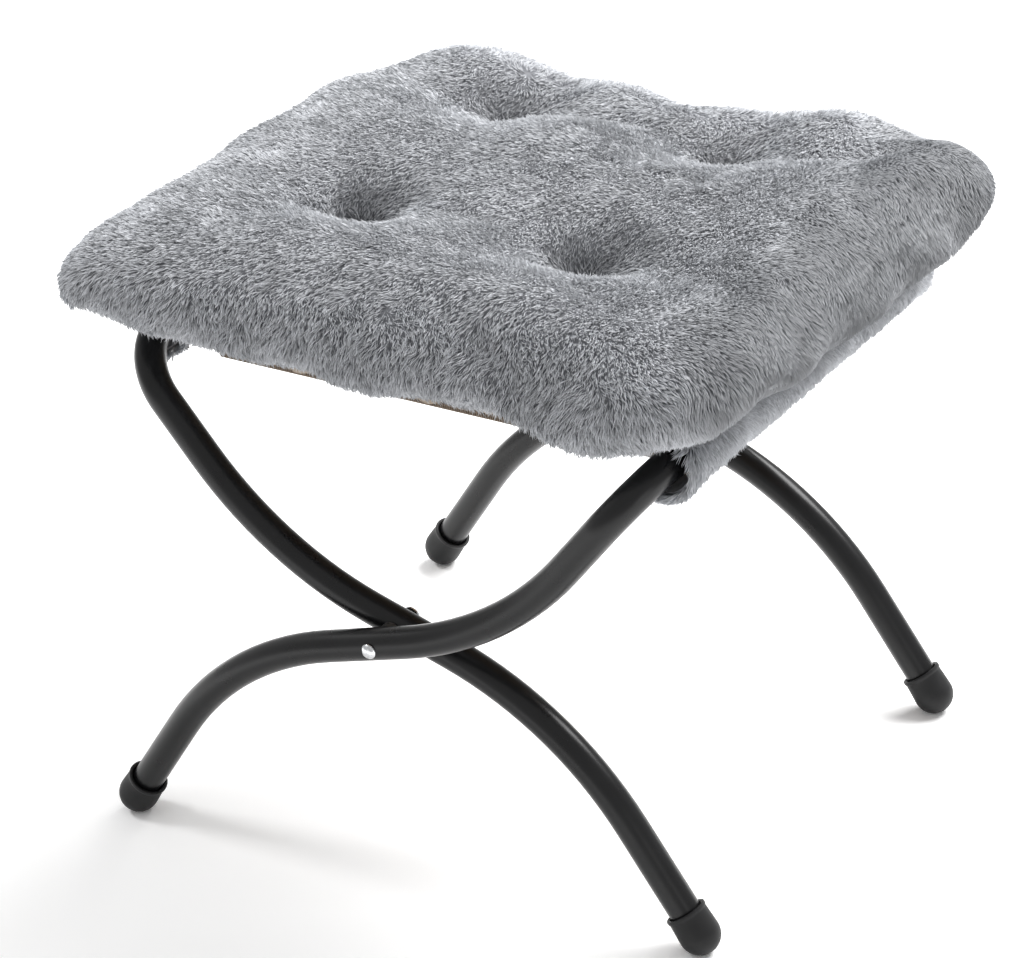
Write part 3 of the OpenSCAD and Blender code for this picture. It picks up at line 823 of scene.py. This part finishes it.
def set_pile(name, place, normal, lay, length, lean, seed, calm, painted_shading):
    """One mesh of strands. length and lean, in metres and degrees, are means. Where calm is 1 the
    strands lie alike and their roots get less painted shade. The last argument is painted shade
    where it is above 0 and painted light where it is below 0."""
    rng = np.random.default_rng(seed)
    count = len(place)
    lock_seed = np.floor(place / LOCK_SIZE + rng.uniform(-0.35, 0.35, (count, 3))).astype(np.int64)
    lock_id = np.unique(lock_seed @ LOCK_HASH, return_inverse=True)[1]
    locks = lock_id.max() + 1
    wild = 1 - 0.92 * calm

    def varied(by_lock, by_strand):
        """Random differences, partly shared by each lock."""
        return (rng.normal(0, by_lock, locks)[lock_id] + rng.normal(0, by_strand, count)) * wild

    swing = np.radians(varied(16, 14))[:, None]
    angle = np.radians(np.clip(lean + varied(9, 11), 20, 82))[:, None]
    size = (length * np.clip(1 + varied(0.10, 0.20), 0.40, 1.50))[:, None]
    flat = unit(lay - normal * np.sum(lay * normal, axis=1, keepdims=True))
    flat = flat * np.cos(swing) + np.cross(normal, flat) * np.sin(swing)
    up = normal * np.cos(angle * 0.6) + flat * np.sin(angle * 0.6)
    over = unit(flat * np.cos(angle * 0.6) - normal * np.sin(angle * 0.6))
    roll = np.radians(np.clip(rng.normal(0, 30, count), -80, 80))[:, None]
    side = np.cross(normal, flat) * np.cos(roll) + over * np.sin(roll)
    breadth = STRAND_WIDTH * rng.uniform(0.75, 1.3, (count, 1))
    shape = place[:, None, :] + spindle @ np.stack([side * breadth, over * size, up * size], axis=1)
    centre = np.stack([np.bincount(lock_id, shape[:, 3, k], locks) for k in range(3)], axis=1)
    centre /= np.bincount(lock_id)[:, None]
    pull = centre[lock_id] - shape[:, 3]
    shape[:, 3] += TIP_CLING * pull
    shape[:, 1:3] += MIDDLE_CLING * pull[:, None, :]

    mesh = bpy.data.meshes.new(name)
    mesh.vertices.add(count * 4)
    mesh.vertices.foreach_set("co", shape.ravel())
    mesh.loops.add(count * 12)
    corners = np.arange(count)[:, None] * 4 + SPINDLE_FACES
    mesh.loops.foreach_set("vertex_index", corners.ravel().astype(np.int32))
    mesh.polygons.add(count * 4)
    mesh.polygons.foreach_set("loop_start", np.arange(0, count * 12, 3, dtype=np.int32))
    mesh.update(calc_edges=True)
    mesh.validate()
    facing = unit(normal + 0.35 * unit(np.cross(up, side)) + np.array([0, 0, 0.2]))
    mesh.normals_split_custom_set_from_vertices(np.repeat(facing, 4, axis=0))

    # Calm strands start part way up the ramp, so their roots get less painted shade.
    along = 1 - np.outer(1 - 0.4 * calm, [1, 0.5, 0.5, 0])
    tone = 0.42 * rng.normal(size=count) + 0.24 * rng.normal(size=locks)[lock_id]
    tone = (tone + 0.20 * waves(place, 0.016, 7)) * wild + 0.20 * waves(place, 0.06, 8)
    # Painted shade and painted light, from the last argument, shift each strand from its random tone.
    shade = np.repeat(np.clip(0.5 - painted_shading + 0.5 * tone, 0, 1), 4)
    for label, values in (("along", along.ravel()), ("shade", shade)):
        mesh.attributes.new(label, "FLOAT", "POINT").data.foreach_set("value", values.astype(np.float32))
    cells = math.ceil(math.sqrt(count))
    cell = np.stack([np.arange(count) % cells, np.arange(count) // cells], axis=1)[:, None, :]
    uv = ((cell + spindle_uv) / cells).astype(np.float32)
    mesh.uv_layers.new(name="OFBake").data.foreach_set("uv", uv.ravel())
    pile = bpy.data.objects.new(name, mesh)
    bpy.context.scene.collection.objects.link(pile)
    pile.data.materials.append(plush)
    return pile


# %% [markdown]
# A strand is dark at its root, where little light gets, and light at its tip. Sheen adds the soft,
# cool gleam that plush has where it is seen at a low angle.

# %% Plush
plush, tree, shader = new_material("plush", 0.75, 0.2)
along = add_node(tree, "ShaderNodeAttribute", {"attribute_name": "along"}).outputs["Fac"]
shade = add_node(tree, "ShaderNodeAttribute", {"attribute_name": "shade"}).outputs["Fac"]
root_to_tip = ramp(tree, along, (0.0, (0.13, 0.134, 0.146)), (0.5, (0.48, 0.49, 0.515)),
                   (1.0, (0.93, 0.945, 0.98)))
tinted = add_node(tree, "ShaderNodeMix", {"data_type": "RGBA", "blend_type": "MULTIPLY"}, _0=1.0,
                  _6=root_to_tip, _7=ramp(tree, shade, (0.0, 0.38), (0.5, 0.88), (1.0, 1.07)))
dress(tree, shader, tinted.outputs[2])
for socket, value in (("Weight", 0.45), ("Roughness", 0.45), ("Tint", (0.86, 0.92, 1.0, 1))):
    shader.inputs["Sheen " + socket].default_value = value

# %% [markdown]
# The cushion's pile is set in eight patches, so that no mesh gets too heavy. It is short in the
# tufts and longer over the edge, and trimmed where it would hide the sling's bound edge and the
# sleeve. At the right it lies calm and flat, as if stroked down, and there it gets painted shade.
# Each tuft gets a painted shadow in its pit and painted shade where it turns away from the lamp,
# and its near lip a painted highlight. Away from the tufts, slopes turned from the lamp, as at the
# front, get painted light.

# %% How the cushion's pile varies
STRANDS, SPLIT = 42500, 0.13
PILE_FROM = 0.3125
# LIGHT_FROM points roughly at the top lamp; the pile's painted shade and light follow it.
LIGHT_FROM = unit(np.array([0.4, 1.3, 2.2]))


def patch_weight(centres, normals, sx, sy, outer):
    """Pile grows all over but the underside, and is thin where the cover turns under."""
    x, y, z = centres.T
    patch = (x * sx >= 0) & (y * sy >= 0) & ((np.abs(x) > SPLIT) == outer)
    return patch * (z >= PILE_FROM) * np.where(normals[:, 2] < -0.80, 0.35, 1.0)


def from_tufts(place, shift=(0, 0)):
    """How far each place is from the nearest tuft, or from a point shifted from it."""
    return np.min([np.hypot(place[:, 0] - x - shift[0], place[:, 1] - y - shift[1])
                   for x, y in TUFTS.values()], axis=0)


def pile_form(place, normal):
    """The length, lean and calm of the cushion's pile at each place, and its painted shade and light."""
    x, y, z = place.T
    near = from_tufts(place)
    steep = smooth(0.9, 0.4, normal[:, 2])
    length = (0.0050 + 0.0026 * steep) * (0.74 + 0.26 * smooth(0.004, 0.024, near))
    length *= (1 + 0.10 * waves(place, 0.03, 9)) * (1 + 0.20 * smooth(0.15, 0.21, x))
    above_tape = smooth(-0.13, -0.15, y) * smooth(0.12, 0.09, x)
    above_sleeve = smooth(0.18, 0.20, x)
    length *= 1 - 0.35 * smooth(0.343, 0.322, z) * np.maximum(above_tape, above_sleeve)
    calm = smooth(0.145, 0.212, x + 0.11 * y)
    rim = np.maximum(smooth(0.10, 0.15, y), smooth(-0.17, -0.21, x))
    lean = 46 - 12 * smooth(0.03, 0.012, near) + 19 * calm + 14 * rim * (1 - calm)
    # lit is how squarely the cover faces the top lamp, for painted shade and light.
    lit = normal @ LIGHT_FROM
    by_tuft = smooth(0.075, 0.035, near)
    # Painted shade over the calm right side, and a painted shadow in each tuft's pit, a little behind
    # and left of its centre. Near the tufts, slopes turned from the lamp get painted shade and lips
    # facing it a painted highlight; elsewhere such slopes get painted light.
    painted_shading = 0.62 * calm + 0.50 * smooth(0.028, 0.004, from_tufts(place, (-0.006, 0.009)))
    painted_shading += (0.95 * by_tuft - 0.20) * (0.85 - lit) - 0.22 * by_tuft * smooth(0.86, 0.97, lit)
    return length, lean, calm, painted_shading


# %% Setting the cushion's pile
rng = np.random.default_rng(11)
quarters = {"front_left": (-1, -1), "front_right": (1, -1), "rear_left": (-1, 1), "rear_right": (1, 1)}
piles = []
for quarter, (sx, sy) in quarters.items():
    for part in ("inner", "outer"):
        place, normal = roots_on(cushion, lambda centres, normals: patch_weight(
            centres, normals, sx, sy, part == "outer"), STRANDS, rng)
        length, lean, calm, painted_shading = pile_form(place, normal)
        piles.append(set_pile(f"pile_{quarter}_{part}", place, normal, lay_on_cushion(place, normal),
                              length, lean, 20 + len(piles), calm, painted_shading))
print("pile pieces", len(piles), "each", triangles_of(piles[0]), "triangles")

under = cushion.data.attributes.new("under", "FLOAT", "POINT")
z = np.array([v.co.z for v in cushion.data.vertices])
under.data.foreach_set("value", smooth(0.3135, 0.3085, z).astype(np.float32))

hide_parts("right_cushion_cover", "left_cushion_cover", "right_filling", "left_filling")
for piece in [cushion, *piles]:
    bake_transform(piece)

# %% [markdown]
# ## The sling
# A strip of brown woven cloth is stretched between the rails, and carries the cushion. It is a grid
# given the cloth's thickness, and a little narrower at its left end, where the sleeve is shorter.

# %% The sling's sheet
SLING_Z, SLING_T = 0.3055, 0.0016
SLING_HALF, LEFT_LOOP_HALF = 0.125, 0.105
LOOP_R = TUBE_R + 0.0019
SLING_END = RAIL_X - LOOP_R - 0.0001
NARROWING, NARROW_STEPS = 0.040, 3
nothing_selected()
bpy.ops.mesh.primitive_grid_add(x_subdivisions=64, y_subdivisions=44, size=2)
sling = named("sling_cloth")
edit(sling)
bpy.ops.mesh.select_all(action="SELECT")
bpy.ops.transform.resize(value=(SLING_END, SLING_HALF, 1))
bpy.ops.transform.translate(value=(0, 0, SLING_Z - SLING_T / 2))
for step in range(NARROW_STEPS):
    pick("verts", lambda v: -v.co.x > SLING_END - NARROWING + 0.010 * step)
    bpy.ops.transform.resize(value=(1, (LEFT_LOOP_HALF / SLING_HALF) ** (1 / NARROW_STEPS), 1))
nothing_selected()
apply_modifier(sling, "SOLIDIFY", thickness=SLING_T, offset=1.0)
closed_up(sling, math.radians(50))
print("sling's size", [round(x, 4) for x in sling.dimensions])

# %% [markdown]
# The weave is a wave for the warp times a wave for the weft, with a noise for uneven yarn. It is
# drawn on a UV map in metres, as the cloth lies flat, so it follows the cloth round the rails.

# %% Canvas
canvas, tree, shader = new_material("brown_canvas", 0.85, 0.15)
where = add_node(tree, "ShaderNodeUVMap", {"uv_map": "flat"}).outputs["UV"]
weave = combine(tree, "MULTIPLY", bands(tree, where, "X", 190), bands(tree, where, "Y", 150))
uneven = combine(tree, "MULTIPLY_ADD", noise(tree, where, 40, 4), 0.35, weave)
brown = ramp(tree, uneven, (0.05, (0.075, 0.05, 0.034)), (0.9, (0.36, 0.27, 0.19)))
dress(tree, shader, brown, None, weave, 0.0003, 0.5)


def flat_map(piece, u_axis, v_axis):
    """A UV map in metres, as the cloth lies flat."""
    layer = piece.data.uv_layers.get("flat") or piece.data.uv_layers.new(name="flat")
    for loop in piece.data.loops:
        point = piece.data.vertices[loop.vertex_index].co
        layer.data[loop.index].uv = (point[u_axis], point[v_axis])


flat_map(sling, 0, 1)
sling.data.materials.append(canvas)
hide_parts("right_sling", "left_sling")
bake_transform(sling)

# %% [markdown]
# At each end the cloth goes once round the rail as a loop. A circle is extruded along the rail,
# ring by ring, puckered a little, and then given the cloth's thickness.


# %% Rail loops
LOOP_MID_R, LOOP_T = TUBE_R + 0.0011, 0.0014


def rail_loop(name, side, half):
    centre = Vector((side * RAIL_X, -half, RAIL_Z))
    nothing_selected()
    bpy.ops.mesh.primitive_circle_add(vertices=48, radius=LOOP_MID_R, location=centre,
                                      rotation=(math.pi / 2, 0, 0))
    loop = named(name)
    edit(loop)
    bpy.ops.mesh.select_all(action="SELECT")
    bpy.ops.mesh.select_mode(type="EDGE")
    rings = round(half / 0.005)
    for _ in range(rings):
        bpy.ops.mesh.extrude_edges_move(TRANSFORM_OT_translate={"value": (0, 2 * half / rings, 0)})
    bpy.ops.mesh.select_mode(type="VERT")
    bpy.ops.mesh.select_all(action="SELECT")
    bpy.ops.transform.vertex_random(offset=0.0002, seed=4)
    nothing_selected()
    apply_modifier(loop, "SOLIDIFY", thickness=LOOP_T, offset=0.0)
    closed_up(loop, math.radians(50))
    layer = loop.data.uv_layers.new(name="flat")
    for face in loop.data.polygons:
        middle = face.center - centre
        middle_angle = math.atan2(middle.z, -side * middle.x)
        for k in face.loop_indices:
            point = loop.data.vertices[loop.data.loops[k].vertex_index].co - centre
            angle = math.atan2(point.z, -side * point.x)
            angle += 2 * math.pi * round((middle_angle - angle) / (2 * math.pi))
            layer.data[k].uv = (angle * LOOP_MID_R, point.y)
    loop.data.materials.append(canvas)
    return loop


for word, side, half, body, tube in (("right", 1, SLING_HALF, "seat_right", outer_tube),
                                     ("left", -1, LEFT_LOOP_HALF, "left_sleeve", inner_tube)):
    loop = rail_loop(word + "_loop", side, half)
    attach(loop, body)
    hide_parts(word + "_rail_loop")
print("rail loops", triangles_of(loop), "triangles")

# %% [markdown]
# The sling's front and rear edges are turned over a cord and bound with ribbed tape. Above the
# front one, the seam allowance of the plush cover peeps out in thin beige waves.


# %% Bound edges
def bar_along_x(name, ends, place, height, depth, rings):
    """A closed bar with an oval section that runs along X between the ends, cut into rings."""
    nothing_selected()
    bpy.ops.mesh.primitive_circle_add(vertices=20, radius=1, fill_type="NGON",
                                      rotation=(0, math.pi / 2, 0), location=(ends[0], *place))
    bar = named(name)
    edit(bar)
    bpy.ops.mesh.select_all(action="SELECT")
    bpy.ops.transform.resize(value=(1, depth / 2, height / 2), center_override=(ends[0], *place))
    for _ in range(rings):
        bpy.ops.mesh.extrude_region_move(
            TRANSFORM_OT_translate={"value": ((ends[1] - ends[0]) / rings, 0, 0)})
    nothing_selected()
    return closed_up(bar)


TAPE_ENDS, TAPE_PLACE, TAPE_H, TAPE_D = (-0.125, 0.164), (-0.1262, 0.3048), 0.0068, 0.0036
HEM_ENDS, HEM_PLACE, HEM_H, HEM_D = (-0.150, 0.150), (-0.1285, 0.3094), 0.0052, 0.0012
tape = bar_along_x("edge_tape", TAPE_ENDS, TAPE_PLACE, TAPE_H, TAPE_D, 90)
rear_tape = moved_copy(tape, "rear_tape", flip=(1, -1, 1))
take(tape)
rear_tape.select_set(True)
bpy.ops.object.join()

# %% [markdown]
# Ribs run across the tape, a noise frays them, and faint lines run along it.

# %% Ribbed tape
flat_map(tape, 0, 2)
ribbed_tape, tree, shader = new_material("ribbed_tape", 0.8, 0.2)
where = add_node(tree, "ShaderNodeUVMap", {"uv_map": "flat"}).outputs["UV"]
rib = bands(tree, where, "X", 210)
frayed = combine(tree, "MULTIPLY", rib, noise(tree, where, 260, 4))
lined = combine(tree, "MULTIPLY_ADD", bands(tree, where, "Y", 120), 0.25, frayed)
tan = ramp(tree, lined, (0.05, (0.06, 0.042, 0.03)), (0.8, (0.36, 0.285, 0.22)))
dress(tree, shader, tan, None, rib, 0.0004, 0.7)
tape.data.materials.append(ribbed_tape)
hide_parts("right_edge_binding", "left_edge_binding")
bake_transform(tape)

# %% [markdown]
# The hem is a thin bar too. Sums of sines move its points, so that it waves along the tape. It is
# plain beige cloth, with uneven yarn.

# %% The cover's hem
hem = bar_along_x("cover_hem", HEM_ENDS, HEM_PLACE, HEM_H, HEM_D, 120)
for v in hem.data.vertices:
    v.co.y += 0.0022 * math.sin(v.co.x * 210) - 0.0016 * math.sin(v.co.x * 87 + 1)
    v.co.z += 0.0013 * math.sin(v.co.x * 150 + 2) - 0.0012 * math.cos(v.co.x * 64)
beige_lining, tree, shader = new_material("beige_lining", 0.85)
slub = noise(tree, add_node(tree, "ShaderNodeUVMap", {"uv_map": "flat"}).outputs["UV"], 900, 3)
dress(tree, shader, ramp(tree, slub, (0.3, (0.36, 0.29, 0.225)), (0.7, (0.55, 0.46, 0.37))))
flat_map(hem, 0, 2)
hem.data.materials.append(beige_lining)
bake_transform(hem)
print("tape", triangles_of(tape), "hem", triangles_of(hem), "triangles")

# %% [markdown]
# ## The sleeves
# A band of the same plush wraps the outside and the underside of each rail. A line along the rail
# is spun round it, so that the band gets its curve at once. Its mouths slant, because it is longest
# at its underside, and they flare a little where the dark rail goes in.


# %% A sleeve's cloth
SLEEVE_R, SLEEVE_T = 0.0136, 0.0012
SLEEVE_OVER, SLEEVE_UNDER = 56, 118  # degrees above and below the rail's outermost line


def sleeve_cloth(name, side, half, slant, tuck, seed):
    """A band twice half long. slant shortens its upper part, and tuck its outer part."""
    centre = Vector((side * RAIL_X, 0, RAIL_Z))
    nothing_selected()
    bpy.ops.mesh.primitive_grid_add(x_subdivisions=1, y_subdivisions=60, size=2)
    band = named(name)
    edit(band)
    pick("verts", lambda v: v.co.x < 0)
    bpy.ops.mesh.delete(type="VERT")
    bpy.ops.mesh.select_all(action="SELECT")
    over = math.radians(SLEEVE_OVER)
    start = centre + SLEEVE_R * Vector((side * math.cos(over), 0, math.sin(over)))
    bpy.ops.transform.translate(value=start - Vector((1, 0, 0)))
    bpy.ops.transform.resize(value=(1, half, 1), center_override=start)
    bpy.ops.mesh.spin(steps=30, angle=math.radians(SLEEVE_OVER + SLEEVE_UNDER), center=centre,
                      axis=(0, -side, 0))
    for height in (-0.010, -0.006, -0.001, 0.004, 0.008):
        pick("verts", lambda v: v.co.z > RAIL_Z + height)
        bpy.ops.transform.resize(value=(1, slant ** 0.2, 1), center_override=(0, 0, 0))
    for reach in (-0.006, 0.0, 0.006):
        pick("verts", lambda v: v.co.x * side > RAIL_X + reach)
        bpy.ops.transform.resize(value=(1, tuck ** (1 / 3), 1), center_override=(0, 0, 0))
    for share, swell in ((0.80, 1.02), (0.90, 1.03), (0.96, 1.03)):
        pick("verts", lambda v: abs(v.co.y) > share * half)
        bpy.ops.transform.resize(value=(swell, 1, swell), center_override=centre)
    bpy.ops.mesh.select_all(action="SELECT")
    bpy.ops.transform.vertex_random(offset=0.0006, seed=seed)
    nothing_selected()
    apply_modifier(band, "SOLIDIFY", thickness=SLEEVE_T, offset=0.0)
    closed_up(band, math.radians(50))
    band.data.materials.append(backing_cloth)
    values = np.full(len(band.data.vertices), 0.3, np.float32)
    band.data.attributes.new("under", "FLOAT", "POINT").data.foreach_set("value", values)
    return band


# %% [markdown]
# The pile of a sleeve hangs down round the rail, and outwards at the mouths. It gets painted light,
# since the sleeves lie in the cushion's shade.


# %% The sleeves' pile
def lay_on_sleeve(place, side):
    """Round the rail and down, and outwards at the mouths."""
    y = place[:, 1]
    ends = smooth(0.75, 1.0, np.abs(y) / np.abs(y).max())
    down = np.stack([0 * y - 0.35 * side, 0 * y, 0 * y - 1], axis=1)
    out = np.stack([0 * y, np.sign(y) * ends, 0 * y], axis=1)
    return down * (1 - 0.5 * ends)[:, None] + out + 0.35 * wander(place, 0.04, 4)


def outer_face(centres, normals, side):
    """1 for the faces that look away from the rail, otherwise 0."""
    away = (centres - np.array([side * RAIL_X, 0, RAIL_Z])) * np.array([1, 0, 1])
    return np.where(np.sum(normals * away, axis=1) > 0.003, 1.0, 0.0)


SLEEVE_STRANDS = 38000
for side, word, half, slant, tuck, calmness, body in (
    (1, "right", 0.140, 0.96, 1.0, 0.55, "seat_right"),
    (-1, "left", 0.127, 0.88, 0.80, 0.2, "left_sleeve"),
):
    band = sleeve_cloth(word + "_sleeve_cloth", side, half, slant, tuck, 2 + side)
    place, normal = roots_on(band, lambda centres, normals: outer_face(centres, normals, side),
                             SLEEVE_STRANDS, rng)
    ends = smooth(0.86, 1.0, np.abs(place[:, 1]) / half)
    calm = np.full(len(place), calmness)
    # Painted light: the last argument, -0.42, lightens every strand of the sleeves.
    tuft = set_pile(word + "_sleeve_pile", place, normal, lay_on_sleeve(place, side),
                    0.0085 + 0.0025 * ends, 52.0, 30 + side, calm, -0.42)
    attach(band, body)
    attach(tuft, body)
    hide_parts(word + "_fur_sleeve")
    print(word, "sleeve", triangles_of(band), "triangles, its pile", triangles_of(tuft))

# %% [markdown]
# ## Tuft threads
# A twisted thread runs through the cushion at each tuft. It is knotted in the bottom of the tuft
# and again under the sling. Two plies are extruded upwards together and turned a little each step.


# %% Threads
PLY_R, PLY_OFFSET, PLY_STEP, PLY_TURN = 0.00042, 0.00036, 0.0009, 24
KNOT_R, KNOT_THREAD_R = 0.0011, 0.00058


def thread_piece(name, place, low, high):
    """A two-ply thread between two heights, with a knot at each end."""
    nothing_selected()
    parts = []
    for ply in (-1, 1):
        bpy.ops.mesh.primitive_circle_add(vertices=8, radius=PLY_R, fill_type="NGON",
                                          location=(place[0] + ply * PLY_OFFSET, place[1], low))
        parts.append(named(name))
    take(parts[0])
    parts[1].select_set(True)
    bpy.ops.object.join()
    thread = bpy.context.object
    edit(thread)
    bpy.ops.mesh.select_all(action="SELECT")
    steps = round((high - low) / PLY_STEP)
    for _ in range(steps):
        bpy.ops.mesh.extrude_region_move(TRANSFORM_OT_translate={"value": (0, 0, (high - low) / steps)})
        bpy.ops.transform.rotate(value=math.radians(PLY_TURN), orient_axis="Z",
                                 center_override=(place[0], place[1], 0))
    nothing_selected()
    knots = [thread]
    for height in (low, high):
        for turn_x, turn_y in ((0.5, 0.3), (-0.6, 0.7), (1.4, 0.2)):
            bpy.ops.mesh.primitive_torus_add(
                major_segments=20, minor_segments=8, major_radius=KNOT_R, minor_radius=KNOT_THREAD_R,
                location=(place[0], place[1], height), rotation=(turn_x, turn_y, 0))
            knots.append(named(name + "_knot"))
    nothing_selected()
    for knot in knots:
        knot.select_set(True)
    bpy.context.view_layer.objects.active = thread
    bpy.ops.object.join()
    return closed_up(thread)


# %% [markdown]
# The thread is grey and a little fuzzy. It is tied just above the bottom of each tuft, which is
# measured on the finished cover.

# %% Tying the tufts
twisted_thread, tree, shader = new_material("twisted_thread", 0.8)
fuzz = noise(tree, add_node(tree, "ShaderNodeTexCoord").outputs["Object"], 2500, 3)
dress(tree, shader, ramp(tree, fuzz, (0.3, (0.17, 0.175, 0.19)), (0.7, (0.36, 0.37, 0.40))))
KNOT_LOW = SLING_Z - SLING_T / 2 - 0.0022
KNOT_RISE, ABOVE_BELLY, PIT_R = 0.001, 0.315, 0.005
for word, body in (("right", "seat_right"), ("left", "seat_left")):
    pair = []
    for quarter, (x, y) in TUFTS.items():
        if word in quarter:
            pit = min(v.co.z for v in cushion.data.vertices
                      if v.co.z > ABOVE_BELLY and math.hypot(v.co.x - x, v.co.y - y) < PIT_R)
            pair.append(thread_piece(word + "_threads", (x, y), KNOT_LOW, pit + KNOT_RISE))
    take(pair[0])
    pair[1].select_set(True)
    bpy.ops.object.join()
    threads = bpy.context.object
    threads.data.materials.append(twisted_thread)
    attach(threads, body)
    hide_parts(word + "_tuft_threads")
print("threads", triangles_of(threads), "triangles; the tuft is", round(pit, 4), "high")
